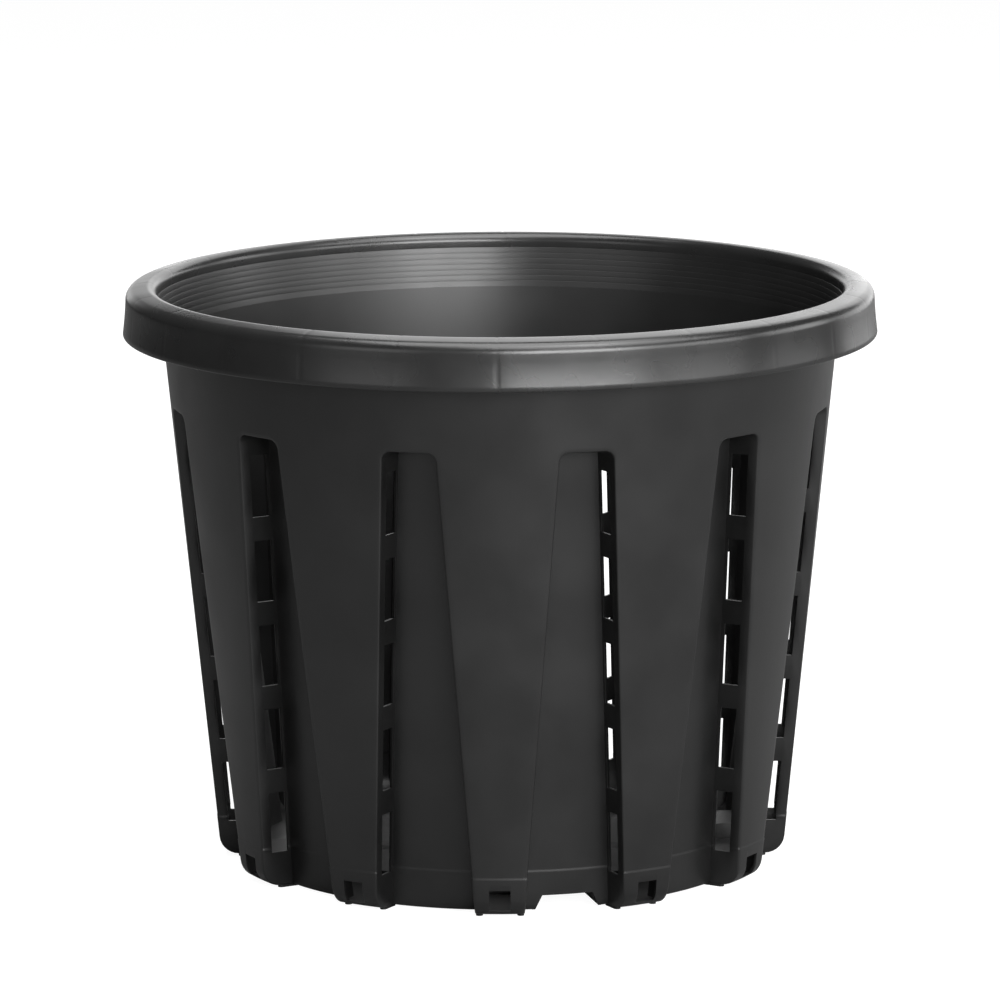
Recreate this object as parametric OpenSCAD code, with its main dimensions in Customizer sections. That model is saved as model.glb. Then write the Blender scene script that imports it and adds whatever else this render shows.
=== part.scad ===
// Round nursery pot whose wall is folded into twelve tapering ribs.
// Slots in the rib sides let air reach the roots, so that they stop circling.
// Millimetres, +Z up, origin on the resting plane under the middle of the pot.
// Angles are counted from the front, -Y, towards +X.

/* [Overall size] */
// Diameter over the bottom edge of the rim skirt
pot_d = 400; // [370:5:460]
// Height from the resting plane to the crest of the rim
pot_h = 310; // [250:5:380]
// Diameter of the body at the resting plane
base_d = 302; // [270:2:320]
// Thickness of the moulded wall
wall = 1.5; // [1.4:0.1:2.6]

/* [Rim] */
// From the mouth edge out to the bottom edge of the skirt, along a radius
rim_w = 18; // [16:0.5:24]
// Height of the rim from the bottom of the skirt to the crest
rim_h = 26; // [20:1:36]
// How far the skirt flares outward over its height
skirt_flare = 1.6; // [0.6:0.2:3]
// Height of the crown above its joint with the skirt
crown_h = 8; // [7.5:0.5:10]
// Fall of the crown from its crest to the outer corner
crown_fall = 3; // [1.5:0.5:3.5]
// Radius of the mouth edge
mouth_round = 5; // [3.5:0.5:6]
// Radius of the outer corner of the crown
shoulder_round = 4; // [2.5:0.5:4]
// Gussets under the crown for each rib of the body
gussets_per_rib = 2; // [1:1:3]
// Thickness of a gusset
gusset_t = 1.6; // [1:0.1:2.4]

/* [Ringed band] */
// Number of small stacking steps inside the rim
ring_count = 7; // [4:1:8]
// Height of one stacking step
ring_pitch = 3.05; // [2.4:0.05:3.3]
// Inward reach of one stacking step
ring_step = 0.7; // [0.4:0.05:0.9]

/* [Ribs and recesses] */
// Number of ribs round the pot
rib_count = 12; // [8:1:12]
// Width of a rib at the resting plane
rib_w_base = 25; // [20:0.5:30]
// Width of a rib where the recesses end
rib_w_top = 63; // [46:1:66]
// Depth of a recess behind the rib faces
rib_depth = 16.5; // [16:0.5:22]
// Plain collar between the recesses and the ringed band
collar_h = 31; // [16:0.5:50]
// Radius of the top corners of a recess
recess_round = 5; // [2:0.5:8]
// Radius of the bottom corner of a rib
base_round = 10.5; // [6:0.5:12]

/* [Air slots] */
// Height of a slot
slot_h = 33; // [18:0.5:40]
// Width of a slot, across the rib side
slot_w = 9.5; // [4:0.5:10]
// Wall left between two slots of a column
slot_web = 12.8; // [8:0.2:24]
// From a rib face in to its slots
slot_inset = 5.5; // [4:0.1:5.5]
// Height of the lowest slot above the underside
slot_start = 18.5; // [16:0.5:50]
// Least wall between the highest slot and the top of the recess
slot_top_gap = 6; // [4:0.5:20]

/* [Base] */
// Height of the rib feet, up to the line that runs round the foot of the pot
rib_foot_h = 21; // [18:0.5:24]
// Height of the foot pads
foot_h = 1.3; // [0.8:0.1:4]
// Width of a foot pad
foot_w = 3.6; // [2.4:0.2:5]
// Length of a foot pad along the radius
foot_l = 12; // [8:0.5:20]
// Width of the drain window in the foot of each rib
window_w = 11; // [5:0.5:14]
// Height of a drain window
window_h = 11.6; // [6:0.2:16]
// Wall left between the underside and a drain window
window_sill = 3.1; // [2.7:0.1:6]
// Width of the low gutter between the recessed wall and the raised middle of the floor
gutter_w = 26.8; // [16:0.4:40]
// Rise of the middle of the floor above the underside
centre_rise = 8.2; // [5:0.2:12]
// A drain channel leaves through every so many recesses
channel_step = 3; // [2:1:6]
// Width of a drain channel at the underside
channel_w = 34; // [20:1:37]
// Width of a drain channel at its roof
channel_roof_w = 27; // [12:1:30]
// Lip of the riser left between the roof of a channel and the middle of the floor
channel_lip = 0.6; // [0.4:0.1:1.5]
// Diameter of a drain hole
hole_d = 16; // [8:0.5:20]
// From the edge of the raised middle in to the ring of drain holes
hole_inset = 24; // [14:1:36]
// Number of drain holes in the ring, besides the one in the middle
hole_count = 6; // [4:1:8]

/* [Hidden] */
$fn = 64;
// Length of everything that only has to reach past the pot
reach = pot_d;

// Radii and heights of the rim
skirt_r = pot_d / 2;
shoulder_r = skirt_r - skirt_flare;
mouth_r = skirt_r - rim_w;
skirt_z = pot_h - rim_h;
crown_z = pot_h - crown_h;
band_h = ring_count * ring_pitch;
band_z = crown_z - band_h;

// The body tapers from the band, whose steps narrow it, down to the resting plane
body_r = mouth_r - ring_count * ring_step + wall;
base_r = base_d / 2;
taper = (body_r - base_r) / band_z;
lean = atan(taper);
function face_r(z) = base_r + taper * z;
// Radius of a cone that lies a given depth behind the rib faces
function behind_r(z, depth) = face_r(z) - depth / cos(lean);

// Heights of the base and the body
underside_z = foot_h;
floor_z = underside_z + wall;
rib_foot_z = underside_z + rib_foot_h;
collar_z = band_z - collar_h;
recess_z = collar_z - wall;
centre_z = underside_z + centre_rise;
channel_rise = centre_rise - channel_lip;
centre_r = behind_r(floor_z, rib_depth) - gutter_w;
hole_ring_r = centre_r - hole_inset;

// The rib sides lean outward, as seen along the rib, so that a rib widens upward
rib_turn = 360 / rib_count;
side_slope = (rib_w_top - rib_w_base) / 2 / recess_z;
side_lean = atan(side_slope);
function rib_half(z) = rib_w_base / 2 + side_slope * z;

// The bottom corner of the ribs is rounded about this point
corner_z = underside_z + base_round;
corner_r = behind_r(corner_z, base_round);

// Slots stand in a column, as many as the recess has room for
slot_pitch = slot_h + slot_web;
slot_low_z = underside_z + slot_start;
slot_room = recess_z - slot_top_gap - slot_low_z;
slot_count = floor((slot_room + slot_web) / slot_pitch);

// Foot pads stand under the rib sides, just behind the rounded corner
foot_off = rib_half(0) - foot_w / 2;

body_tint = "#333333";
side_tint = "#2b2b2b";
rim_tint = "#404040";

function rib_name(part, i) = str(part, "_", i < 9 ? "0" : "", i + 1);
function rib_names(part) = [for (i = [0:rib_count - 1]) rib_name(part, i)];

// Turns a piece drawn along +X to an angle counted from the front
module at_angle(a) {
    rotate([0, 0, a - 90]) children();
}

module at_rib(i) {
    at_angle(i * rib_turn) children();
}

// Recess i lies between rib i and the next
module at_recess(i) {
    at_angle((i + 0.5) * rib_turn) children();
}

module at_channels() {
    for (i = [0:channel_step:rib_count - 1]) at_recess(i) children();
}

// Everything past a rib's side plane, with the rib along +X
module past_side(depth = 0) {
    translate([0, rib_half(0) - depth / cos(side_lean), 0])
        rotate([-side_lean, 0, 0])
            translate([0, 0, -reach]) cube([reach, reach, 2 * reach]);
}

// The other side of such a plane, with the rib's middle in it
module within_side(depth = 0) {
    translate([0, rib_half(0) - depth / cos(side_lean), 0])
        rotate([-side_lean, 0, 0])
            translate([0, -reach, -reach]) cube([reach, reach, 2 * reach]);
}

module rib_width(depth = 0) {
    intersection() {
        within_side(depth);
        mirror([0, 1, 0]) within_side(depth);
    }
}

// The space between two ribs, with the recess along +X
module between_ribs() {
    intersection() {
        rotate([0, 0, -rib_turn / 2]) past_side();
        rotate([0, 0, rib_turn / 2]) mirror([0, 1, 0]) past_side();
    }
}

// Half section of the body, a given depth inside the rib faces
module body_section(depth) {
    low = underside_z + depth;
    round = base_round - depth;
    union() {
        polygon([
            [0, low],
            [corner_r, low],
            [corner_r + round * cos(lean), corner_z - round * sin(lean)],
            [behind_r(collar_z, depth), collar_z],
            [0, collar_z]
        ]);
        translate([corner_r, corner_z]) circle(round);
    }
}

// Half section of a conical wall from z1 to z2, between two depths behind the rib faces
module cone_section(z1, z2, outer_depth, inner_depth) {
    polygon([
        [behind_r(z1, inner_depth), z1],
        [behind_r(z1, outer_depth), z1],
        [behind_r(z2, outer_depth), z2],
        [behind_r(z2, inner_depth), z2]
    ]);
}

// The same, but filled in to the middle of the pot
module filled_section(z1, z2, depth) {
    polygon([[0, z1], [behind_r(z1, depth), z1], [behind_r(z2, depth), z2], [0, z2]]);
}

// Section of a drain channel across its length, grown by the wall or not
module channel_prism(grow) {
    rise = channel_rise + grow;
    slant = (channel_w - channel_roof_w) / 2 / channel_rise;
    foot = channel_w / 2 + grow;
    roof = foot - slant * rise;
    translate([0, 0, underside_z]) rotate([90, 0, 90])
        linear_extrude(reach)
            polygon([[-foot, 0], [foot, 0], [roof, rise], [-roof, rise]]);
}

// Crown: the rounded top of the rim, an open gutter turned upside down
module crown_section(depth) {
    inner = [mouth_r + mouth_round, pot_h - mouth_round];
    outer = [shoulder_r - shoulder_round, pot_h - crown_fall - shoulder_round];
    inner_round = mouth_round - depth;
    outer_round = shoulder_round - depth;
    span = outer - inner;
    bend = atan2(span.y, span.x) + acos((inner_round - outer_round) / norm(span));
    normal = [cos(bend), sin(bend)];
    union() {
        translate(inner) circle(inner_round);
        translate(outer) circle(outer_round);
        polygon([
            [inner.x - inner_round, crown_z],
            [outer.x + outer_round, crown_z],
            [outer.x + outer_round, outer.y],
            outer + outer_round * normal,
            inner + inner_round * normal,
            [inner.x - inner_round, inner.y]
        ]);
    }
}

module rim_crown() {
    color(rim_tint) rotate_extrude() difference() {
        crown_section(0);
        crown_section(wall);
        translate([0, crown_z - pot_h]) square([reach, pot_h]);
    }
}

module rim_skirt() {
    color(rim_tint) rotate_extrude() polygon([
        [skirt_r - wall, skirt_z],
        [skirt_r, skirt_z],
        [shoulder_r, crown_z],
        [shoulder_r - wall, crown_z]
    ]);
}

// A gusset fills the gap between the band and the skirt, in a thin radial plane
module gusset() {
    low = skirt_z + wall;
    flare = skirt_flare * (crown_z - low) / (crown_z - skirt_z);
    intersection() {
        rotate_extrude() polygon([
            [band_outer_r(low), low],
            [shoulder_r - wall + flare, low],
            [shoulder_r - wall, crown_z],
            [band_outer_r(crown_z), crown_z]
        ]);
        translate([0, -gusset_t / 2, low]) cube([reach, gusset_t, pot_h]);
    }
}

module rim_gussets() {
    turn = rib_turn / gussets_per_rib;
    color(rim_tint)
        for (i = [0:rib_count * gussets_per_rib - 1]) at_angle(i * turn) gusset();
}

// Outer face of the band, from the collar up to the inner leg of the crown
function band_outer_r(z) = body_r + (mouth_r + wall - body_r) * (z - band_z) / band_h;

module stacking_band() {
    steps = [for (i = [0:ring_count - 1]) each [
        [mouth_r - (i + 1) * ring_step, crown_z - i * ring_pitch],
        [mouth_r - (i + 1) * ring_step, crown_z - (i + 1) * ring_pitch]
    ]];
    color(rim_tint) rotate_extrude() polygon(concat(
        [[mouth_r + wall, crown_z], [mouth_r, crown_z]],
        steps,
        [[body_r, band_z]]));
}

module collar() {
    color(body_tint) rotate_extrude() polygon([
        [behind_r(collar_z, wall), collar_z],
        [face_r(collar_z), collar_z],
        [body_r, band_z],
        [body_r - wall, band_z]
    ]);
}

// Rounded top corner of a recess, along the side of the rib that lies on +X
module recess_corner() {
    centre_z = recess_z - recess_round;
    centre_y = rib_half(centre_z) + recess_round / cos(side_lean);
    turns = 6;
    arc = [for (i = [0:turns])
        let (a = 90 + (90 - side_lean) * i / turns)
            [centre_y + recess_round * cos(a), centre_z + recess_round * sin(a)]];
    rotate([90, 0, 90]) linear_extrude(reach)
        polygon(concat([[rib_half(recess_z), recess_z]], arc));
}

// Shelf that closes the top of a recess
module recess_ledge() {
    intersection() {
        rotate_extrude() cone_section(recess_z - recess_round, collar_z, 0, rib_depth);
        union() {
            intersection() {
                between_ribs();
                translate([0, -reach / 2, recess_z]) cube([reach, reach, wall]);
            }
            rotate([0, 0, -rib_turn / 2]) recess_corner();
            rotate([0, 0, rib_turn / 2]) mirror([0, 1, 0]) recess_corner();
        }
    }
}

module recess_ledges() {
    color(side_tint) for (i = [0:rib_count - 1]) at_recess(i) recess_ledge();
}

// Outer face of a rib
module rib_face(i) {
    color(body_tint) at_rib(i) intersection() {
        rotate_extrude() cone_section(rib_foot_z, collar_z, 0, wall);
        rib_width();
    }
}

// Foot of a rib, rounded in to the floor and cut by the drain window
module rib_foot() {
    difference() {
        intersection() {
            rotate_extrude() difference() {
                body_section(0);
                body_section(wall);
                square([corner_r, corner_z]);
                translate([0, rib_foot_z]) square([reach, pot_h]);
            }
            rib_width();
        }
        translate([0, -window_w / 2, underside_z + window_sill])
            cube([reach, window_w, window_h]);
    }
}

module rib_feet() {
    color(body_tint) for (i = [0:rib_count - 1]) at_rib(i) rib_foot();
}

// Outer edge of the slots, along the middle of a rib, so that they follow its corner
function slot_x(z) = sqrt(pow(behind_r(z, slot_inset), 2) - pow(rib_half(z), 2));

// A slot has level ends, and its sides lean with the rib
module slot(i) {
    low = slot_low_z + i * slot_pitch;
    high = low + slot_h;
    rotate([90, 0, 0]) translate([0, 0, -reach]) linear_extrude(reach)
        polygon([
            [slot_x(low) - slot_w, low],
            [slot_x(low), low],
            [slot_x(high), high],
            [slot_x(high) - slot_w, high]
        ]);
}

module rib_side() {
    difference() {
        intersection() {
            rotate_extrude() difference() {
                body_section(wall);
                filled_section(0, pot_h, rib_depth + wall);
            }
            within_side();
            past_side(wall);
        }
        for (i = [0:slot_count - 1]) slot(i);
    }
}

module rib_sides(i) {
    color(side_tint) at_rib(i) {
        rib_side();
        mirror([0, 1, 0]) rib_side();
    }
}

// Recessed wall between two ribs
module panel(i) {
    color(body_tint) at_recess(i) difference() {
        intersection() {
            rotate_extrude() cone_section(floor_z, collar_z, rib_depth, rib_depth + wall);
            between_ribs();
        }
        if (i % channel_step == 0) channel_prism(wall);
    }
}

// Outline of the floor, which follows the recessed walls and reaches into the ribs
module floor_outline() {
    tongue = rib_half(floor_z);
    union() {
        circle(behind_r(floor_z, rib_depth));
        for (i = [0:rib_count - 1]) at_rib(i) intersection() {
            circle(corner_r);
            translate([0, -tongue]) square([reach, 2 * tongue]);
        }
    }
}

// Low outer part of the floor
module floor_gutter() {
    color(side_tint) difference() {
        translate([0, 0, underside_z]) linear_extrude(wall) floor_outline();
        cylinder(r = centre_r, h = pot_h);
        at_channels() channel_prism(wall);
    }
}

// Raised middle of the floor, with its riser and the drain holes
module floor_centre() {
    color(side_tint) difference() {
        translate([0, 0, underside_z]) cylinder(r = centre_r, h = centre_rise + wall);
        cylinder(r = centre_r - wall, h = centre_z);
        at_channels() translate([centre_r / 2, 0, 0]) channel_prism(0);
        cylinder(d = hole_d, h = pot_h);
        for (i = [0:hole_count - 1]) at_angle(i * 360 / hole_count)
            translate([hole_ring_r, 0, 0]) cylinder(d = hole_d, h = pot_h);
    }
}

// Arched tunnels from the space under the middle of the floor to the outside
module drain_channels() {
    color(side_tint) at_channels() intersection() {
        difference() {
            channel_prism(wall);
            channel_prism(0);
            cylinder(r = centre_r, h = pot_h);
        }
        rotate_extrude() filled_section(underside_z, collar_z, rib_depth);
    }
}

// Pads under the two sides of each rib
module foot_pad() {
    translate([corner_r - foot_w / 2, 0, 0]) {
        cylinder(d = foot_w, h = foot_h);
        translate([-foot_l + foot_w, -foot_w / 2, 0])
            cube([foot_l - foot_w, foot_w, foot_h]);
        translate([-foot_l + foot_w, 0, 0]) cylinder(d = foot_w, h = foot_h);
    }
}

module foot_pads() {
    color(side_tint) for (i = [0:rib_count - 1]) at_rib(i)
        for (side = [-1, 1]) translate([0, side * foot_off, 0]) foot_pad();
}

rim_crown();
rim_skirt();
rim_gussets();
stacking_band();
collar();
recess_ledges();
rib_feet();
floor_gutter();
floor_centre();
drain_channels();
foot_pads();
for (i = [0:rib_count - 1]) {
    rib_face(i);
    rib_sides(i);
    panel(i);
}
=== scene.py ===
import math

import bmesh
import bpy
from bpy.props import FloatProperty, FloatVectorProperty, IntProperty, PointerProperty
from mathutils import Matrix, Vector


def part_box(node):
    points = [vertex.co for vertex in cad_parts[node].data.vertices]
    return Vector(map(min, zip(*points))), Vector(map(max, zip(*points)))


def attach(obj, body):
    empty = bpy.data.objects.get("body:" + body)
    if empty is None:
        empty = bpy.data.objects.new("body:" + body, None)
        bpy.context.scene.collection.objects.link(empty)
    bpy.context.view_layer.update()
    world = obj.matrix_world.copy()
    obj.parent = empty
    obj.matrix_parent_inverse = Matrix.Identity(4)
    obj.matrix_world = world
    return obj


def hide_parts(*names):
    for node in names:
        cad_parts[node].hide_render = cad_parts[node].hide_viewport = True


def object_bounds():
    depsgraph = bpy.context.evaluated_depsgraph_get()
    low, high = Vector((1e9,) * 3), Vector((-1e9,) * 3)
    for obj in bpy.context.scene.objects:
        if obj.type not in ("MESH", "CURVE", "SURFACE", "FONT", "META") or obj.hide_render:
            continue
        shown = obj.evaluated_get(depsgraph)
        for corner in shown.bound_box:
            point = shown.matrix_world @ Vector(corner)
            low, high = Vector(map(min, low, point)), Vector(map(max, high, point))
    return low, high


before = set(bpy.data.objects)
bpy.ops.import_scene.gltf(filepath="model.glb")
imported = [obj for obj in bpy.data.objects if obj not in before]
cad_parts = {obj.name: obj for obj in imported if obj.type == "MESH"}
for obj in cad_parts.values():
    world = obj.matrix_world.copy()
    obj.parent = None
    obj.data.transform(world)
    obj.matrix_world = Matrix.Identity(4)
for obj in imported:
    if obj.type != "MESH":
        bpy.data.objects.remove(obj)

bl_info = {
    "name": "Ribbed nursery pot",
    "version": (1, 0, 0),
    "blender": (4, 5, 0),
    "location": "3D View > Sidebar > Pot",
    "description": "Models a moulded nursery pot whose wall folds into slotted ribs",
    "category": "Add Mesh",
}

MM = 0.001
HALF_TURN = math.pi
CAD_BOX = [list(corner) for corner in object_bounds()]
BAND_LOW, BAND_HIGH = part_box("stacking_band")
SKIRT_LOW, SKIRT_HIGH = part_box("rim_skirt")
COLLAR_LOW, COLLAR_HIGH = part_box("collar")
FLOOR_LOW, FLOOR_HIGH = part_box("floor_centre")
POT_HEIGHT = CAD_BOX[1][2]
RIB_COUNT = sum(name.startswith("rib_face_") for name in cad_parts)
RIB_TURN = 2 * HALF_TURN / RIB_COUNT
GUSSET_COUNT = 2 * RIB_COUNT

# Where a drain channel passes under each sector in turn: its right side, its left side, nowhere
CHANNEL_SIDES = (1, -1, 0)

# Faces round the turned pieces
RIM_STEPS = 960
RING_STEPS = 480
FLOOR_STEPS = 192
HOLE_STEPS = 64

# Faces round the bends of the rim's outline
MOUTH_STEPS = 10
SHOULDER_STEPS = 8
SKIRT_STEPS = 8
LIP_STEPS = 6
UNDERSIDE_STEPS = 5

# Faces round the smaller bends of the rings and of the floor
LEDGE_STEPS = 3
RISER_STEPS = 4

# Faces across and up the skin of a rib
FACE_COLUMNS = 8
PANEL_COLUMNS = 7
FOOT_STEPS = 7
CORNER_STEPS = 6
COLLAR_ROWS = 3
GUTTER_ROWS = 4

# Lines up the edge of a recess: on the rib face a margin from the edge, along the front and the
# back of the rib's side, and on the recessed wall a margin from the edge
ON_FACE, FRONT_EDGE, BACK_EDGE, ON_PANEL = range(4)
MARGIN = 2.5 * MM

# Half the height of the line round the foot, and where the wall is plain again beside it
LINE_HALF = 0.25 * MM
LINE_CALM = 4 * LINE_HALF

# Half the width of a sink mark
MARK_HALF = 1 * MM

# Bevels: faces across them, and the least angle between the faces that they round
RIDGE_SEGMENTS = 3
OPENING_SEGMENTS = 2
RIDGE_ANGLE = math.radians(28)
FLOOR_EDGE_ANGLE = math.radians(60)
SMOOTH_ANGLE = math.radians(30)

# How near a point or a face lies to the place that it belongs to: to another point; to the
# mirror plane or the band; to the riser or the skirt's top; to the outline of an opening; and
# to a rib's side. The last is an angle, to the middle of a recess.
TOUCH = 0.01 * MM
NEAR = MM / 50
BESIDE = MM / 10
OPENING_SLACK = MM / 4
SIDE_SLACK = MM / 2
ANGLE_NEAR = 1e-4

# Pull of a sector's border against one face, where a point of the inner side is placed
BORDER_WEIGHT = 1000

# Roughness of the moulded surfaces; the tool was smoothest at the rim
ROUGHNESS = {"wall": 0.37, "rim": 0.28, "inner": 0.36, "floor": 0.45}
POLYPROPYLENE_IOR = 1.49

# Width of the camera's film in millimetres, and how far it sees in metres
SENSOR_WIDTH = 36
SIGHT = 100

# Side of the studio floor in metres, and the faces along it
GROUND_SIDE = 40
GROUND_CELLS = 4

# Greys of the stage: what the floor gives back, what it adds for the camera alone, and what
# the room gives the pot
GROUND_GREY = 0.22
GROUND_GLOW = 0.94
ROOM_GREY = 0.1

# Name; degrees round from the front to the right, and up; distance, width and height in
# metres; watts
LAMPS = (
    ("key", 22, 15, 2.6, 1.9, 0.8, 75),
    ("key upper", 22, 34, 2.6, 1.0, 0.7, 9),
    ("key top", 18, 58, 2.5, 1.4, 1.1, 31),
    ("key top right", 62, 55, 2.5, 1.4, 1.1, 22),
    ("fill right", 62, 14, 2.6, 1.3, 1.0, 21),
    ("right wall", 100, 14, 2.6, 1.3, 1.0, 17),
    ("right behind", 138, 5, 2.8, 1.4, 0.8, 7),
    ("backdrop right", 160, 7, 3.2, 1.2, 0.9, 7),
    ("backdrop left", -172, 7, 3.2, 2.2, 0.9, 10),
    ("over the back", 167, 37, 2.5, 1.7, 1.8, 20),
    ("overhead", 0, 86, 2.4, 2.0, 1.6, 58),
    ("fill left", -38, 14, 2.6, 1.3, 1.0, 7),
)


def length(name, description, value):
    """A size of the pot that a user may change"""
    return FloatProperty(name=name, description=description, default=value, unit="LENGTH")


def angle(name, description, value):
    """An angle that a user may change"""
    return FloatProperty(name=name, description=description, default=value, unit="ROTATION")


def count(name, description, value):
    """A number of like features that a user may change"""
    return IntProperty(name=name, description=description, default=value, min=1)


def tint(name, description, value):
    """A colour, kept as it looks on a screen"""
    return FloatVectorProperty(
        name=name, description=description, default=value,
        size=3, subtype="COLOR_GAMMA", min=0, max=1)


def screen_colour(hex_value):
    """Red, green and blue shares of a colour written as RRGGBB"""
    return tuple(int(hex_value[i:i + 2], 16) / 255 for i in (0, 2, 4))


def linear(colour):
    """A screen colour as the shader wants it, by the sRGB curve, with full cover"""
    shares = [c / 12.92 if c <= 0.04045 else ((c + 0.055) / 1.055) ** 2.4 for c in colour]
    return (*shares, 1.0)


def grey(share):
    """A linear grey for the stage"""
    return (share, share, share, 1)


class PotSizes(bpy.types.PropertyGroup):
    """Sizes of the moulding"""
    wall: length("Wall", "Thickness of the moulded wall", 1.5 * MM)
    base_radius: length("Base radius", "Radius of the rib faces at the resting plane", 151 * MM)
    rib_w_base: length("Rib width below", "Width of a rib at the resting plane", 25 * MM)
    rib_w_top: length("Rib width above", "Width of a rib where the recesses end", 63 * MM)
    rib_depth: length("Rib depth", "Depth of a recess behind the rib faces", 16.5 * MM)
    base_round: length("Base round", "Radius of the bottom corner of a rib", 10.5 * MM)
    recess_round: length("Recess round", "Radius of the top corners of a recess", 5 * MM)
    edge_round: length("Edge round", "Radius that the mould leaves on the ribs' edges", 0.75 * MM)
    slot_round: length("Slot round", "Radius on the edges of slots and windows", 0.3 * MM)
    slot_h: length("Slot height", "Height of an air slot", 33 * MM)
    slot_w: length("Slot width", "Width of an air slot across the rib side", 9.5 * MM)
    slot_web: length("Slot web", "Wall left between two slots", 12.8 * MM)
    slot_inset: length("Slot inset", "From a rib face in to its slots", 5.5 * MM)
    slot_start: length("Slot start", "Height of the lowest slot above the underside", 18.5 * MM)
    slot_count: count("Slots", "Slots in one side of a rib", 5)
    foot_line: length("Foot line", "Height above the underside of the foot's line", 21 * MM)
    foot_step: length("Foot step", "How far the foot stands out below its line", 0.2 * MM)
    window_w: length("Window width", "Width of the drain window in a rib foot", 11 * MM)
    window_h: length("Window height", "Height of a drain window", 11.6 * MM)
    window_sill: length("Window sill", "Wall left under a drain window", 3.1 * MM)
    channel_w: length("Channel width", "Width of a drain channel at the underside", 34 * MM)
    channel_roof_w: length("Channel roof", "Width of a drain channel at its roof", 27 * MM)
    channel_lip: length("Channel lip", "Riser left between a channel and the floor", 0.6 * MM)
    hole_d: length("Drain hole", "Diameter of a drain hole", 16 * MM)
    hole_inset: length("Hole inset", "From the riser in to the ring of drain holes", 24 * MM)
    hole_count: count("Drain holes", "Drain holes in the ring", 6)
    crown_fall: length("Crown fall", "Fall of the crown from its crest outward", 1 * MM)
    mouth_round: length("Mouth round", "Radius of the mouth edge", 5 * MM)
    shoulder_round: length("Shoulder round", "Radius of the crown's outer corner", 6 * MM)
    skirt_hollow: length("Skirt hollow", "How far the skirt is hollow between its ends", 0.15 * MM)
    sink_depth: length("Sink depth", "Depth of the sink marks over the gussets", 0.12 * MM)
    ring_count: count("Rings", "Stacking steps inside the rim", 7)
    ring_step: length("Ring step", "Inward reach of one stacking step", 0.7 * MM)
    ring_ledge: length("Ring ledge", "Rounded ledge of a step; the rest is slope", 0.14 * MM)


class PotColours(bpy.types.PropertyGroup):
    """Colours of the moulding"""
    # The wall's grey is darker than the rim's, though both are one black plastic: painted shade on
    # the walls, painted light on the rim and gussets
    wall: tint("Wall", "Outside and inside of the ribbed wall", screen_colour("0d0d0d"))
    rim: tint("Rim", "Crown, skirt and gussets", screen_colour("161616"))
    dust: tint("Dust", "Paler bloom in the hollows of the mould texture", screen_colour("1d1d1d"))


class PotStudio(bpy.types.PropertyGroup):
    """The camera"""
    lens: FloatProperty(name="Lens", description="Focal length in millimetres", default=219.6)
    distance: length("Distance", "From the pot's axis to the camera", 3.2)
    height: length("Height", "Height of the camera above the floor", 0.7936)
    pitch: angle("Pitch", "How far the camera looks down", 0.1858)
    turn: angle("Turn", "How far the camera stands round to the right", 0.0084)
    roll: angle("Roll", "How far the camera leans over", -0.0038)
    shift: FloatProperty(
        name="Shift", description="Sideways lens shift, in picture widths", default=-0.0008)


def only(obj):
    """Makes obj the one selected and active object"""
    bpy.ops.object.select_all(action="DESELECT")
    obj.select_set(True)
    bpy.context.view_layer.objects.active = obj
    return obj


def in_edit_mode(obj, work):
    """Runs work on obj's mesh with nothing selected at first, and returns to object mode"""
    only(obj)
    bpy.ops.object.mode_set(mode="EDIT")
    bpy.ops.mesh.select_all(action="DESELECT")
    work(bmesh.from_edit_mesh(obj.data))
    bpy.ops.object.mode_set(mode="OBJECT")
    return obj


def select(mesh, mode, items, test):
    """Selects the edges or faces that pass the test, in their own mode"""
    bpy.ops.mesh.select_all(action="DESELECT")
    bpy.ops.mesh.select_mode(type=mode)
    for item in items:
        item.select = test(item)
    mesh.select_flush_mode()


def bevel_edges(obj, test, radius, segments):
    """Rounds the edges that pass the test"""
    def work(mesh):
        select(mesh, "EDGE", mesh.edges, test)
        bpy.ops.mesh.bevel(offset=radius, segments=segments, clamp_overlap=True)
    return in_edit_mode(obj, work)


def merge(mesh):
    """Joins points that lie on each other"""
    bpy.ops.mesh.select_all(action="SELECT")
    bpy.ops.mesh.remove_doubles(threshold=TOUCH)


def outward(mesh):
    """Turns all faces outward"""
    bpy.ops.mesh.select_all(action="SELECT")
    bpy.ops.mesh.normals_make_consistent(inside=False)


def apply_modifier(obj, kind, **settings):
    """Adds a modifier with its settings and applies it"""
    only(obj)
    modifier = obj.modifiers.new(kind.title(), kind)
    for name, value in settings.items():
        setattr(modifier, name, value)
    bpy.ops.object.modifier_apply(modifier=modifier.name)
    return obj


def cut(obj, cutter):
    """Cuts a closed shape out of obj and deletes the shape"""
    apply_modifier(obj, "BOOLEAN", operation="DIFFERENCE", solver="EXACT", object=cutter)
    bpy.data.objects.remove(cutter)
    return obj


def smooth(obj):
    """Smooth shading, apart from true edges"""
    only(obj)
    bpy.ops.object.shade_smooth_by_angle(angle=SMOOTH_ANGLE)
    return obj


def join(name, pieces):
    """Joins pieces into one object"""
    only(pieces[0])
    for piece in pieces[1:]:
        piece.select_set(True)
    bpy.ops.object.join()
    obj = bpy.context.object
    obj.name = obj.data.name = name
    return obj


def copy_of(obj, name):
    """A copy with its own mesh"""
    twin = obj.copy()
    twin.data = obj.data.copy()
    twin.name = twin.data.name = name
    bpy.context.collection.objects.link(twin)
    return twin


def between(a, b, share):
    """A value between a and b"""
    return a + (b - a) * share


def turned(point, turn):
    """A point of a piece that lies along +X, turned about the pot's axis"""
    return Matrix.Rotation(turn, 3, "Z") @ Vector(point)


def at_front(turn):
    """Angle from +X of a place that lies at an angle from the front, towards +X"""
    return turn - HALF_TURN / 2


def angle_of(point):
    """Angle of a point about the pot's axis, from +X"""
    return math.atan2(point.y, point.x)


def at_width(radius, z, y):
    """A point on a circle about the axis, a width away from the rib's middle"""
    return Vector((math.sqrt(radius * radius - y * y), y, z))


def at_radius(point, radius, z):
    """A point in the same direction from the axis, at another radius and height"""
    return Vector((*(point.to_2d().normalized() * radius), z))


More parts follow.
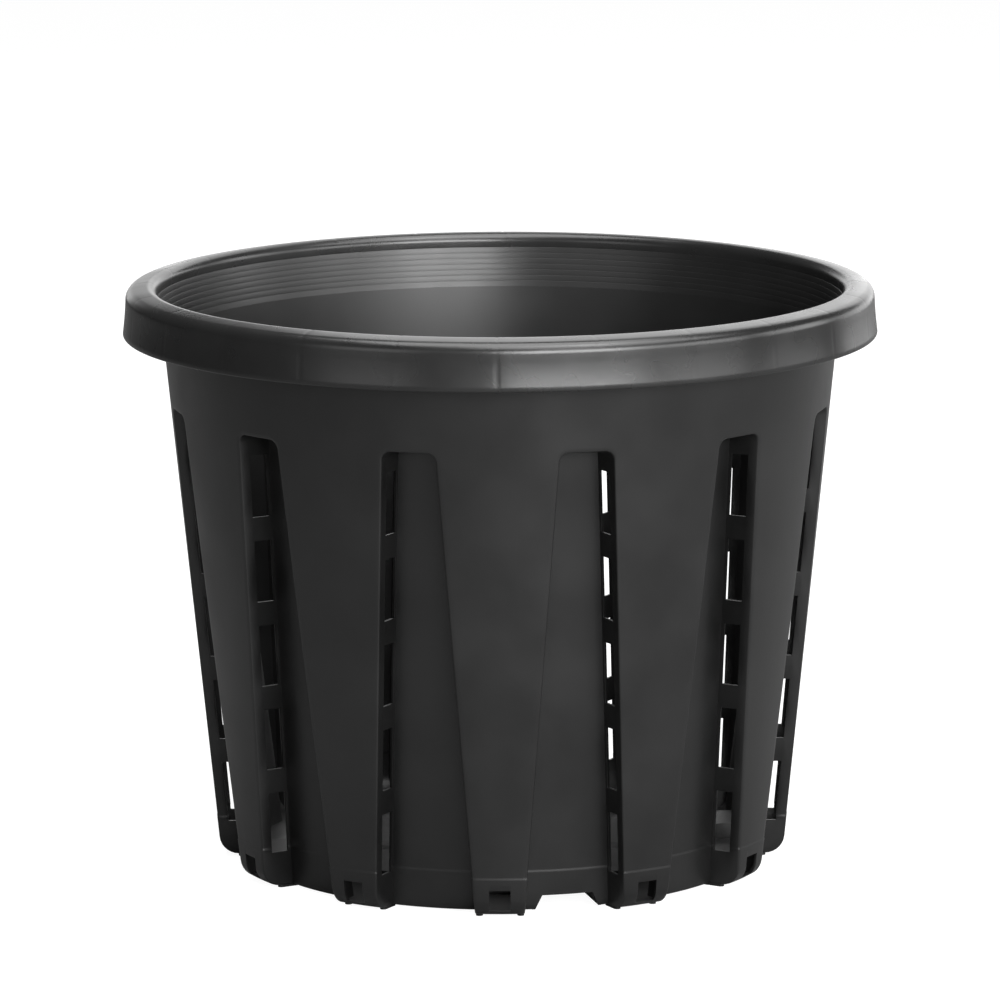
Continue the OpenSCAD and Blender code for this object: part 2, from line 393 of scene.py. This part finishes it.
def towards_recess(radius, z, y, share):
    """A point on a circle, from a width out to the middle of the recess"""
    turn = between(math.asin(y / radius), RIB_TURN / 2, share)
    return Vector((radius * math.cos(turn), radius * math.sin(turn), z))


def arc(centre, radius, start, end, steps):
    """Points along an arc, by angles in degrees"""
    turns = [math.radians(start + (end - start) * i / steps) for i in range(steps + 1)]
    return [(centre[0] + radius * math.cos(t), centre[1] + radius * math.sin(t)) for t in turns]


def lathe(name, outline, steps):
    """Spins a closed outline of (radius, height) points about the pot's axis"""
    bpy.ops.object.select_all(action="DESELECT")
    bpy.ops.mesh.primitive_circle_add(vertices=len(outline), radius=1)
    obj = bpy.context.object
    obj.name = obj.data.name = name
    for point, (radius, height) in zip(obj.data.vertices, outline):
        point.co = (radius, 0, height)

    def spin(mesh):
        bpy.ops.mesh.select_all(action="SELECT")
        bpy.ops.mesh.spin(steps=steps, angle=2 * HALF_TURN, center=(0, 0, 0), axis=(0, 0, 1))
        merge(mesh)
        outward(mesh)
    return in_edit_mode(obj, spin)


def bent_grid(name, columns, rows, place):
    """A flat grid whose points are moved to their places, by column and row"""
    bpy.ops.object.select_all(action="DESELECT")
    bpy.ops.mesh.primitive_grid_add(x_subdivisions=columns, y_subdivisions=rows, size=2)
    obj = bpy.context.object
    obj.name = name
    for point in obj.data.vertices:
        column = round((point.co.x + 1) / 2 * columns)
        row = round((point.co.y + 1) / 2 * rows)
        point.co = place(column, row)
    return obj


def block(name, low, high):
    """A closed block between two corners"""
    bpy.ops.object.select_all(action="DESELECT")
    bpy.ops.mesh.primitive_cube_add(size=1)
    obj = bpy.context.object
    obj.name = name
    for point in obj.data.vertices:
        point.co = [between(low[i], high[i], point.co[i] + 0.5) for i in range(3)]
    return obj


def channel_block(sizes, inner, outer, turn):
    """A block with the section of a drain channel, between two radii, from below the ground"""
    rise = FLOOR_HIGH.z - sizes.wall - sizes.channel_lip - FLOOR_LOW.z
    slant = (sizes.channel_w - sizes.channel_roof_w) / 2 / rise
    obj = block("channel_block", (inner, -1, -FLOOR_LOW.z), (outer, 1, FLOOR_LOW.z + rise))
    for point in obj.data.vertices:
        point.co.y *= sizes.channel_w / 2 + slant * (FLOOR_LOW.z - point.co.z)
        point.co = turned(point.co, turn)
    return obj


def foot_step(sizes, z):
    """How far the wall stands out at a height"""
    return sizes.foot_step if z < FLOOR_LOW.z + sizes.foot_line else 0


def face_radius(sizes, z):
    """Radius of the rib faces at a height, a little more in the foot"""
    share = z / BAND_LOW.z
    return sizes.base_radius + (COLLAR_HIGH.x - sizes.base_radius) * share + foot_step(sizes, z)


def lean(sizes):
    """Angle by which the rib faces lean outward"""
    return math.atan((COLLAR_HIGH.x - sizes.base_radius) / BAND_LOW.z)


def behind_radius(sizes, z, depth):
    """Radius of the cone that lies a depth behind the rib faces"""
    return face_radius(sizes, z) - depth / math.cos(lean(sizes))


def depth_of(sizes, point):
    """How deep a point lies behind the rib faces"""
    return (face_radius(sizes, point.z) - point.to_2d().length) * math.cos(lean(sizes))


def recess_top(sizes):
    """Height of the underside of the shelf over a recess"""
    return COLLAR_LOW.z - sizes.wall


def side_lean(sizes):
    """Angle by which a rib's side leans away from its middle"""
    return math.atan((sizes.rib_w_top - sizes.rib_w_base) / 2 / recess_top(sizes))


def rib_half(sizes, z):
    """Half the width of a rib at a height, a little more in the foot"""
    return sizes.rib_w_base / 2 + math.tan(side_lean(sizes)) * z + foot_step(sizes, z)


def side_rows(sizes):
    """Outer (radius, height) and inner height of each row of a rib side below its top corner"""
    under = FLOOR_LOW.z
    corner_z = under + sizes.base_round
    corner_r = behind_radius(sizes, corner_z, sizes.base_round)
    bend = arc((corner_r, corner_z), sizes.base_round, -90, -math.degrees(lean(sizes)), FOOT_STEPS)
    over_floor = under + 2 * sizes.wall
    rows = [(bend[0], under)] + [
        (place, between(over_floor, bend[-1][1], i / (FOOT_STEPS - 1)))
        for i, place in enumerate(bend[1:])]
    line = under + sizes.foot_line
    levels = [line + side * reach for side in (-1, 1) for reach in (LINE_HALF, LINE_CALM)]
    for i in range(sizes.slot_count):
        low = under + sizes.slot_start + i * (sizes.slot_h + sizes.slot_web)
        levels += [low, low + sizes.slot_h / 2, low + sizes.slot_h]
    return rows + [((face_radius(sizes, z), z), z) for z in sorted(levels)]


def side_shares(sizes):
    """Depths of the columns of a rib side, as shares of its depth"""
    slot_end = sizes.slot_inset + sizes.slot_w
    return [0, sizes.slot_inset / sizes.rib_depth, slot_end / sizes.rib_depth, 1]


def recess_corner(sizes, off, step):
    """Place (y, height) on a recess's rounded top corner, an offset outside its arc"""
    side = side_lean(sizes)
    z = recess_top(sizes) - sizes.recess_round
    y = rib_half(sizes, z) + sizes.recess_round / math.cos(side)
    reach = sizes.recess_round + off
    turn = between(HALF_TURN - side, HALF_TURN / 2, step / CORNER_STEPS)
    return y + reach * math.cos(turn), z + reach * math.sin(turn)


def recess_edge(sizes, row, line):
    """Place (radius, height, y) where a row meets one of the four lines up a recess's edge"""
    rows = side_rows(sizes)
    depth = sizes.rib_depth if line in (BACK_EDGE, ON_PANEL) else 0
    off = {ON_FACE: MARGIN, ON_PANEL: -MARGIN}.get(line, 0)
    if row < len(rows):
        (radius, z), inner_z = rows[row]
        if depth:
            radius, z = behind_radius(sizes, inner_z, depth), inner_z
        return radius, z, rib_half(sizes, z) - off
    y, z = recess_corner(sizes, off, min(row - len(rows), CORNER_STEPS))
    return behind_radius(sizes, z, depth), z, y


def half_skin(sizes):
    """One half of a rib's outer skin, with the rib along +X, from its middle to mid recess"""
    last = len(side_rows(sizes)) + CORNER_STEPS
    shares = side_shares(sizes)

    def reveal(column, row):
        """The rib side, its rounded top corner and the shelf, with a margin on each side"""
        if column == 0:
            radius, z, y = recess_edge(sizes, row, ON_FACE)
        elif column > len(shares):
            radius, z, y = recess_edge(sizes, row, ON_PANEL)
        else:
            front, back = (recess_edge(sizes, row, line) for line in (FRONT_EDGE, BACK_EDGE))
            radius, z, y = (between(a, b, shares[column - 1]) for a, b in zip(front, back))
            if row <= FOOT_STEPS and column > 1:
                z = back[1]
                y = rib_half(sizes, z)
        return towards_recess(radius, z, y, max(row - last, 0) / PANEL_COLUMNS)

    def face(column, row):
        """Half of the rib face"""
        radius, z, y = recess_edge(sizes, row, ON_FACE)
        return at_width(radius, z, y * column / FACE_COLUMNS)

    def panel(column, row):
        """Half of the recessed wall"""
        radius, z, y = recess_edge(sizes, row, ON_PANEL)
        return towards_recess(radius, z, y, column / PANEL_COLUMNS)

    def collar(column, row):
        """The plain wall over the rib face and the shelf"""
        radius, z, y = recess_edge(sizes, last, ON_FACE)
        if column <= FACE_COLUMNS:
            start = at_width(radius, z, y * column / FACE_COLUMNS)
        else:
            start = towards_recess(radius, z, y, (column - FACE_COLUMNS) / PANEL_COLUMNS)
        z = between(start.z, BAND_LOW.z, row / COLLAR_ROWS)
        return at_radius(start, face_radius(sizes, z), z)

    def tongue(column, row):
        """The underside of the rib, in front of the recessed wall"""
        front, back = (recess_edge(sizes, 0, line) for line in (FRONT_EDGE, BACK_EDGE))
        radius, z, edge = (between(a, b, shares[row]) for a, b in zip(front, back))
        y = edge if column > FACE_COLUMNS else (edge - MARGIN) * column / FACE_COLUMNS
        return at_width(radius, z, y)

    def gutter(column, row):
        """The underside behind the tongue and the recessed wall, in to the riser"""
        radius, z, edge = recess_edge(sizes, 0, BACK_EDGE)
        if column <= FACE_COLUMNS:
            start = at_width(radius, z, (edge - MARGIN) * column / FACE_COLUMNS)
        elif column == FACE_COLUMNS + 1:
            start = at_width(radius, z, edge)
        else:
            share = (column - FACE_COLUMNS - 2) / PANEL_COLUMNS
            start = towards_recess(radius, z, edge + MARGIN, share)
        return at_radius(start, between(radius, FLOOR_HIGH.x, row / GUTTER_ROWS), FLOOR_LOW.z)

    return join("half_skin", [
        bent_grid("reveal", len(shares) + 1, last + PANEL_COLUMNS, reveal),
        bent_grid("face", FACE_COLUMNS, last, face),
        bent_grid("panel", PANEL_COLUMNS, last, panel),
        bent_grid("collar", FACE_COLUMNS + PANEL_COLUMNS, COLLAR_ROWS, collar),
        bent_grid("tongue", FACE_COLUMNS + 1, len(shares) - 1, tongue),
        bent_grid("gutter", FACE_COLUMNS + PANEL_COLUMNS + 2, GUTTER_ROWS, gutter)])


def is_slot(sizes, face):
    """Whether a face of the skin lies where an air slot goes"""
    centre = face.calc_center_median()
    if abs(centre.y - rib_half(sizes, centre.z)) > SIDE_SLACK:
        return False
    if not sizes.slot_inset < depth_of(sizes, centre) < sizes.slot_inset + sizes.slot_w:
        return False
    climb = centre.z - FLOOR_LOW.z - sizes.slot_start
    pitch = sizes.slot_h + sizes.slot_web
    return 0 < climb < sizes.slot_count * pitch and climb % pitch < sizes.slot_h


def rib_skin(sizes):
    """The outer skin of one rib with half a recess on each side, along +X, with its slots open"""
    obj = half_skin(sizes)

    def shape(mesh):
        merge(mesh)
        outward(mesh)
        face = max(mesh.faces, key=lambda f: f.calc_center_median().x)
        if face.normal.x < 0:
            bpy.ops.mesh.flip_normals()
        select(mesh, "FACE", mesh.faces, lambda f: is_slot(sizes, f))
        bpy.ops.mesh.delete(type="FACE")
    in_edit_mode(obj, shape)
    return apply_modifier(obj, "MIRROR", use_axis=(False, True, False), merge_threshold=NEAR)


def borders(point):
    """Planes of the sector's own borders that a point of the skin lies on, by their normals"""
    flat = point.to_2d()
    turn = angle_of(point)
    planes = []
    if abs(abs(turn) - RIB_TURN / 2) * flat.length < TOUCH:
        planes.append(turned((0, 1, 0), turn))
    if point.z > BAND_LOW.z - TOUCH:
        planes.append(Vector((0, 0, 1)))
    if flat.length < FLOOR_HIGH.x + TOUCH:
        planes.append(Vector((*flat.normalized(), 0)))
    return planes


def step_back(point, depth):
    """Shift that takes a point of the skin a depth behind all its faces, by least squares"""
    terms = [(face.normal, -depth, 1) for face in point.link_faces]
    terms += [(normal, 0, BORDER_WEIGHT) for normal in borders(point.co)]
    square = Matrix.Identity(3) * (1 / BORDER_WEIGHT)
    total = Vector((0, 0, 0))
    for normal, shift, weight in terms:
        total += normal * (shift * weight)
        for i in range(3):
            square[i] += normal * (normal[i] * weight)
    return square.inverted() @ total


def thicken(obj, thickness):
    """Gives the skin its wall, with the inner side square behind every face"""
    skin = bmesh.new()
    skin.from_mesh(obj.data)
    inner = [point.co + step_back(point, thickness) for point in skin.verts]
    skin.free()
    apply_modifier(obj, "SOLIDIFY", thickness=thickness, offset=-1)
    for point, place in zip(obj.data.vertices[len(inner):], inner):
        point.co = place
    return obj


def on_border(edge):
    """Whether an edge lies where a sector meets its neighbours, the band or the riser"""
    points = [v.co for v in edge.verts]
    if all(abs(abs(angle_of(p)) - RIB_TURN / 2) < ANGLE_NEAR for p in points):
        return True
    if all(p.z > BAND_LOW.z - NEAR for p in points):
        return True
    return all(p.to_2d().length < FLOOR_HIGH.x + BESIDE for p in points)


def is_ridge(edge):
    """Whether two faces meet at a ridge that a mould would round"""
    if len(edge.link_faces) != 2 or on_border(edge) or not edge.is_convex:
        return False
    return edge.calc_face_angle(0) > RIDGE_ANGLE


def at_slot(sizes, edge):
    """Whether an edge lies in the thickness of a rib side, among the slots"""
    slack = OPENING_SLACK
    slot_end = sizes.slot_inset + sizes.slot_w
    return all(
        -slack < rib_half(sizes, p.z) - abs(p.y) < sizes.wall + slack
        and sizes.slot_inset - slack < depth_of(sizes, p) < slot_end + slack
        and FLOOR_LOW.z + sizes.slot_start < p.z + sizes.wall
        for p in (v.co for v in edge.verts))


def at_window(sizes, edge):
    """Whether an edge lies on the outline of the drain window of a rib foot"""
    slack = OPENING_SLACK
    low = FLOOR_LOW.z + sizes.window_sill
    return all(
        abs(p.y) < sizes.window_w / 2 + slack and low - slack < p.z < low + sizes.window_h + slack
        for p in (v.co for v in edge.verts))


def rib_sector(sizes):
    """A closed rib with half a recess on each side, its ridges rounded, with its drain window"""
    obj = thicken(rib_skin(sizes), sizes.wall)
    bevel_edges(obj, lambda e: is_ridge(e) and not at_slot(sizes, e),
                sizes.edge_round, RIDGE_SEGMENTS)
    low = FLOOR_LOW.z + sizes.window_sill
    half = sizes.window_w / 2
    return cut(obj, block(
        "window", (FLOOR_HIGH.x, -half, low), (COLLAR_HIGH.x, half, low + sizes.window_h)))


def round_openings(obj, sizes):
    """Rounds the edges of slots and windows a little"""
    return bevel_edges(obj, lambda e: is_ridge(e) and (at_slot(sizes, e) or at_window(sizes, e)),
                       sizes.slot_round, OPENING_SEGMENTS)


def numbered(part, index):
    """Name of the node or piece that repeats round the pot"""
    return f"{part}_{index + 1:02d}"


def coat(obj, material):
    """Gives an object one material"""
    obj.data.materials.clear()
    obj.data.materials.append(material)


def finish_piece(obj, material, slot, *nodes):
    """Gives a piece its material and its place in the frame"""
    coat(obj, material)
    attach(obj, "root")
    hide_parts(*nodes)


def add_node(material, kind, links=(), **settings):
    """Adds a node, sets its sockets and properties, and links others into it"""
    node = material.node_tree.nodes.new(kind)
    for name, value in settings.items():
        socket = next((s for s in node.inputs if s.name.replace(" ", "_").lower() == name), None)
        if socket is None:
            setattr(node, name, value)
        else:
            socket.default_value = value
    for source, target in links:
        material.node_tree.links.new(source, node.inputs[target])
    return node


def moulded_polypropylene(part, colour):
    """Black polypropylene, injection moulded in an eroded tool: a deep, slightly uneven satin"""
    roughness = ROUGHNESS[part]
    material = bpy.data.materials.new(f"{part} polypropylene")
    material.use_nodes = True
    material.node_tree.nodes.clear()
    place = add_node(material, "ShaderNodeTexCoord")
    # Eroded texture of about 0.3 mm, drawn at 0.8 mm so that it shows as a fine tooth
    tooth = add_node(
        material, "ShaderNodeTexNoise", [(place.outputs["Object"], "Vector")],
        scale=1 / (0.8 * MM), detail=2.0, roughness=0.6)
    # Flow and cooling blotches of about 40 mm
    blotch = add_node(
        material, "ShaderNodeTexNoise", [(place.outputs["Object"], "Vector")],
        scale=1 / (40 * MM), detail=3.0, roughness=0.5)
    # Drag lines from leaving the mould: upright, about 3 mm apart
    upright = add_node(
        material, "ShaderNodeMapping", [(place.outputs["Object"], "Vector")], scale=(1, 1, 0.03))
    drag = add_node(
        material, "ShaderNodeTexNoise", [(upright.outputs["Vector"], "Vector")],
        scale=1 / (3 * MM), detail=2.0, roughness=0.5)
    # A pale bloom of up to three tenths on the blotches, which are also a little rougher
    bloom = add_node(
        material, "ShaderNodeMapRange", [(blotch.outputs["Fac"], "Value")],
        from_min=0.35, from_max=0.75, to_min=0.0, to_max=0.3)
    mix = add_node(
        material, "ShaderNodeMix", [(bloom.outputs["Result"], 0)], data_type="RGBA")
    mix.inputs[6].default_value = linear(colour)
    mix.inputs[7].default_value = linear(bpy.context.scene.pot_colours.dust)
    satin = add_node(
        material, "ShaderNodeMapRange", [(blotch.outputs["Fac"], "Value")],
        from_min=0.3, from_max=0.7, to_min=roughness - 0.04, to_max=roughness + 0.05)
    # Both reliefs are some hundredths of a millimetre deep
    lines = add_node(
        material, "ShaderNodeBump", [(drag.outputs["Fac"], "Height")],
        strength=0.25, distance=0.05 * MM)
    teeth = add_node(
        material, "ShaderNodeBump",
        [(tooth.outputs["Fac"], "Height"), (lines.outputs["Normal"], "Normal")],
        strength=0.35, distance=0.06 * MM)
    shader = add_node(
        material, "ShaderNodeBsdfPrincipled",
        [(mix.outputs[2], "Base Color"), (satin.outputs["Result"], "Roughness"),
         (teeth.outputs["Normal"], "Normal")],
        ior=POLYPROPYLENE_IOR, metallic=0.0)
    add_node(material, "ShaderNodeOutputMaterial", [(shader.outputs[0], "Surface")])
    return material


class POT_OT_rim(bpy.types.Operator):
    """Models the turned-down rim with its sink marks, and the stepped band inside it"""
    bl_idname = "pot.rim"
    bl_label = "Rim"

    def execute(self, context):
        sizes = context.scene.pot_sizes
        colours = context.scene.pot_colours
        # The rim's lighter grey is painted light on the crown, the skirt and the gussets
        material = moulded_polypropylene("rim", colours.rim)
        rim = lathe("rim", self.rim_outline(sizes), RIM_STEPS)
        self.press_sink_marks(rim, sizes)
        finish_piece(smooth(rim), material, "rim_plastic", "rim_crown", "rim_skirt")
        band = lathe("stacking_rings", self.ring_outline(sizes), RING_STEPS)
        # The band inside the rim takes the wall's darker grey, which is painted shade
        inner = moulded_polypropylene("inner", colours.wall)
        finish_piece(smooth(band), inner, "inner_plastic", "stacking_band")
        coat(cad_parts["rim_gussets"], material)
        return {"FINISHED"}

    def rim_outline(self, sizes):
        """Outline of the rim from its mouth over the crown, down the skirt and back under it"""
        wall = sizes.wall
        mouth = BAND_HIGH.x - wall
        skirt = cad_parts["rim_skirt"].data.vertices
        shoulder = max(
            v.co.to_2d().length for v in skirt if v.co.z > SKIRT_HIGH.z - BESIDE)
        inner = (mouth + sizes.mouth_round, POT_HEIGHT - sizes.mouth_round)
        outer = (shoulder - sizes.shoulder_round,
                 POT_HEIGHT - sizes.crown_fall - sizes.shoulder_round)
        span = Vector(outer) - Vector(inner)
        bend = math.degrees(
            math.atan2(span.y, span.x)
            + math.acos((sizes.mouth_round - sizes.shoulder_round) / span.length))
        lip = wall / 2
        tip = (SKIRT_HIGH.x - lip, SKIRT_LOW.z + lip)
        bottom = SKIRT_HIGH.z
        skirt_side = [
            (between(shoulder, SKIRT_HIGH.x, i / SKIRT_STEPS)
             - sizes.skirt_hollow * math.sin(HALF_TURN * i / SKIRT_STEPS),
             between(bottom, tip[1], i / SKIRT_STEPS)) for i in range(1, SKIRT_STEPS)]
        return (
            [(mouth, bottom)]
            + arc(inner, sizes.mouth_round, 180, bend, MOUTH_STEPS)
            + arc(outer, sizes.shoulder_round, bend, 0, SHOULDER_STEPS)
            + skirt_side
            + arc(tip, lip, 0, -180, LIP_STEPS)
            + arc(outer, sizes.shoulder_round - wall, 0, bend, UNDERSIDE_STEPS)
            + arc(inner, sizes.mouth_round - wall, bend, 180, UNDERSIDE_STEPS)
            + [(mouth + wall, bottom)])

    def press_sink_marks(self, rim, sizes):
        """Lets the crown and the outside of the skirt sink a little over every gusset"""
        gusset_turn = 2 * HALF_TURN / GUSSET_COUNT
        lowest = SKIRT_LOW.z + sizes.wall
        middle = (BAND_HIGH.x - sizes.wall + SKIRT_HIGH.x) / 2
        for point in rim.data.vertices:
            turn = angle_of(point.co) - at_front(0)
            off = abs(turn - round(turn / gusset_turn) * gusset_turn) * SKIRT_HIGH.x
            if off >= MARK_HALF or point.co.z <= lowest:
                continue
            radius = point.co.to_2d().length
            if point.co.z > SKIRT_HIGH.z:
                point.co.z -= sizes.sink_depth
            elif radius > middle:
                scale = (radius - sizes.sink_depth) / radius
                point.co.x *= scale
                point.co.y *= scale

    def ring_outline(self, sizes):
        """Outline of the stepped band: sloping faces with small ledges between them"""
        mouth = BAND_HIGH.x - sizes.wall
        pitch = (BAND_HIGH.z - BAND_LOW.z) / sizes.ring_count
        ledge = sizes.ring_ledge
        outline = [(BAND_HIGH.x, BAND_HIGH.z), (mouth, BAND_HIGH.z)]
        for i in range(sizes.ring_count):
            radius = mouth - i * sizes.ring_step - ledge
            top = BAND_HIGH.z - i * pitch
            outline += arc((radius + ledge, top - ledge), ledge, 90, 180, LEDGE_STEPS)
            if i < sizes.ring_count - 1:
                # A short upright drop leads from a sloping face to the next rounded ledge
                outline.append((radius + ledge - sizes.ring_step, top - pitch + ledge / 3))
        inner_leg = COLLAR_HIGH.x - sizes.wall
        return outline + [(inner_leg, BAND_LOW.z), (COLLAR_HIGH.x, BAND_LOW.z)]


class POT_OT_ribbed_wall(bpy.types.Operator):
    """Models the slotted ribs with their recesses, the collar and the outer floor"""
    bl_idname = "pot.ribbed_wall"
    bl_label = "Ribbed wall"

    def execute(self, context):
        sizes = context.scene.pot_sizes
        # The wall's darker grey is painted shade on the ribs, recesses and collar
        material = moulded_polypropylene("wall", context.scene.pot_colours.wall)
        plain = rib_sector(sizes)
        kinds = []
        for side in CHANNEL_SIDES:
            kind = copy_of(plain, "sector")
            if side:
                cut(kind, channel_block(
                    sizes, FLOOR_HIGH.x / 2, COLLAR_HIGH.x, side * RIB_TURN / 2))
            kinds.append(smooth(round_openings(kind, sizes)))
        shared = ("collar", "recess_ledges", "rib_feet", "floor_gutter")
        for i in range(RIB_COUNT):
            piece = copy_of(kinds[i % len(kinds)], numbered("ribbed_wall", i))
            piece.data.transform(Matrix.Rotation(at_front(i * RIB_TURN), 4, "Z"))
            nodes = [numbered(part, i) for part in ("rib_face", "rib_sides", "panel")]
            finish_piece(piece, material, "wall_plastic", *nodes, *(shared if i == 0 else ()))
        for obj in (plain, *kinds):
            bpy.data.objects.remove(obj)
        return {"FINISHED"}


class POT_OT_base(bpy.types.Operator):
    """Models the raised middle of the floor with its drain holes and channel mouths"""
    bl_idname = "pot.base"
    bl_label = "Base"

    def execute(self, context):
        sizes = context.scene.pot_sizes
        # The floor takes the wall's darker grey, which is painted shade
        material = moulded_polypropylene("floor", context.scene.pot_colours.wall)
        floor = lathe("raised_floor", self.floor_outline(sizes), FLOOR_STEPS)
        self.cut_holes(floor, sizes)
        radius = FLOOR_HIGH.x
        for i in range(0, RIB_COUNT, len(CHANNEL_SIDES)):
            turn = at_front((i + 0.5) * RIB_TURN)
            cut(floor, channel_block(sizes, radius / 2, radius + sizes.wall, turn))
        bevel_edges(
            floor,
            lambda e: len(e.link_faces) == 2 and e.calc_face_angle(0) > FLOOR_EDGE_ANGLE,
            sizes.slot_round, OPENING_SEGMENTS)
        finish_piece(smooth(floor), material, "floor_plastic", "floor_centre")
        for name in ("foot_pads", "drain_channels"):
            coat(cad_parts[name], material)
        return {"FINISHED"}

    def floor_outline(self, sizes):
        """Outline of the raised floor and its riser, from the axis out"""
        wall = sizes.wall
        bend = sizes.edge_round
        radius = FLOOR_HIGH.x
        under, top = FLOOR_LOW.z, FLOOR_HIGH.z
        return (
            [(0, top)]
            + arc((radius - bend, top - bend), bend, 90, 0, RISER_STEPS)
            + [(radius, under), (radius - wall, under)]
            + arc((radius - wall - bend, top - wall - bend), bend, 0, 90, RISER_STEPS)
            + [(0, top - wall)])

    def cut_holes(self, floor, sizes):
        """Cuts the middle drain hole and the ring of drain holes"""
        top = FLOOR_HIGH.z
        ring = FLOOR_HIGH.x - sizes.hole_inset
        places = [(0, 0)] + [
            turned((ring, 0, 0), at_front(i * 2 * HALF_TURN / sizes.hole_count)).to_2d()
            for i in range(sizes.hole_count)]
        for x, y in places:
            bpy.ops.object.select_all(action="DESELECT")
            bpy.ops.mesh.primitive_cylinder_add(
                vertices=HOLE_STEPS, radius=sizes.hole_d / 2, depth=4 * top, location=(x, y, top))
            cut(floor, bpy.context.object)


def softbox(name, azimuth, elevation, distance, width, height, watts):
    """A rectangular lamp that faces the middle of the pot, by angles in degrees"""
    round_by, up_by = math.radians(azimuth), math.radians(elevation)
    target = Vector((0, 0, POT_HEIGHT / 2))
    flat = math.cos(up_by) * distance
    place = target + Vector(
        (flat * math.sin(round_by), -flat * math.cos(round_by), math.sin(up_by) * distance))
    lamp = bpy.data.lights.new(name, "AREA")
    lamp.shape = "RECTANGLE"
    lamp.size, lamp.size_y = width, height
    lamp.energy = watts
    obj = bpy.data.objects.new(name, lamp)
    bpy.context.collection.objects.link(obj)
    facing = (target - place).to_track_quat("-Z", "Y").to_matrix().to_4x4()
    obj.matrix_world = Matrix.Translation(place) @ facing


class POT_OT_stage(bpy.types.Operator):
    """Sets the camera, the pale floor, the lamps and the white surroundings"""
    bl_idname = "pot.stage"
    bl_label = "Stage"

    def execute(self, context):
        self.camera(context)
        self.ground()
        self.surroundings(context)
        for lamp in LAMPS:
            softbox(*lamp)
        context.scene.view_settings.view_transform = "Standard"
        return {"FINISHED"}

    def camera(self, context):
        """The camera, in front of the first rib and looking down a little"""
        studio = context.scene.pot_studio
        camera = bpy.data.cameras.new("camera")
        camera.lens = studio.lens
        camera.sensor_width = SENSOR_WIDTH
        camera.clip_end = SIGHT
        camera.shift_x = studio.shift
        eye = bpy.data.objects.new("camera", camera)
        eye.matrix_world = (
            Matrix.Rotation(studio.turn, 4, "Z")
            @ Matrix.Translation((0, -studio.distance, studio.height))
            @ Matrix.Rotation(HALF_TURN / 2 - studio.pitch, 4, "X")
            @ Matrix.Rotation(studio.roll, 4, "Z"))
        context.collection.objects.link(eye)
        context.scene.camera = eye

    def ground(self):
        """Matt paper that the camera sees as white, and that keeps the pot's shadow"""
        bpy.ops.object.select_all(action="DESELECT")
        bpy.ops.mesh.primitive_grid_add(
            x_subdivisions=GROUND_CELLS, y_subdivisions=GROUND_CELLS, size=GROUND_SIDE)
        floor = bpy.context.object
        floor.name = floor.data.name = "studio_floor"
        paper = bpy.data.materials.new("white paper")
        paper.use_nodes = True
        paper.node_tree.nodes.clear()
        rays = add_node(paper, "ShaderNodeLightPath")
        diffuse = add_node(paper, "ShaderNodeBsdfDiffuse", color=grey(GROUND_GREY))
        glow = add_node(
            paper, "ShaderNodeEmission", [(rays.outputs["Is Camera Ray"], "Strength")],
            color=grey(GROUND_GLOW))
        both = add_node(
            paper, "ShaderNodeAddShader", [(diffuse.outputs[0], 0), (glow.outputs[0], 1)])
        add_node(paper, "ShaderNodeOutputMaterial", [(both.outputs[0], "Surface")])
        floor.data.materials.append(paper)

    def surroundings(self, context):
        """A dim grey room that the camera sees as white"""
        world = bpy.data.worlds.new("white studio")
        context.scene.world = world
        world.use_nodes = True
        world.node_tree.nodes.clear()
        rays = add_node(world, "ShaderNodeLightPath")
        room = add_node(world, "ShaderNodeBackground", color=grey(ROOM_GREY))
        white = add_node(world, "ShaderNodeBackground", color=grey(1))
        mix = add_node(
            world, "ShaderNodeMixShader",
            [(rays.outputs["Is Camera Ray"], 0), (room.outputs[0], 1), (white.outputs[0], 2)])
        add_node(world, "ShaderNodeOutputWorld", [(mix.outputs[0], "Surface")])


class POT_PT_sidebar(bpy.types.Panel):
    """Lists the stage and the pot's pieces in the order in which they are made"""
    bl_idname = "POT_PT_sidebar"
    bl_label = "Ribbed nursery pot"
    bl_space_type = "VIEW_3D"
    bl_region_type = "UI"
    bl_category = "Pot"

    def draw(self, context):
        for name in STEPS:
            self.layout.operator(f"pot.{name}")


STEPS = ("stage", "rim", "ribbed_wall", "base")
CLASSES = (
    PotSizes, PotColours, PotStudio,
    POT_OT_stage, POT_OT_rim, POT_OT_ribbed_wall, POT_OT_base, POT_PT_sidebar)


def register():
    for cls in CLASSES:
        bpy.utils.register_class(cls)
    bpy.types.Scene.pot_sizes = PointerProperty(type=PotSizes)
    bpy.types.Scene.pot_colours = PointerProperty(type=PotColours)
    bpy.types.Scene.pot_studio = PointerProperty(type=PotStudio)


def unregister():
    del bpy.types.Scene.pot_sizes, bpy.types.Scene.pot_colours, bpy.types.Scene.pot_studio
    for cls in reversed(CLASSES):
        bpy.utils.unregister_class(cls)


def main():
    """Models the pot around the frame"""
    register()
    for name in STEPS:
        getattr(bpy.ops.pot, name)()


if __name__ == "__main__":
    main()
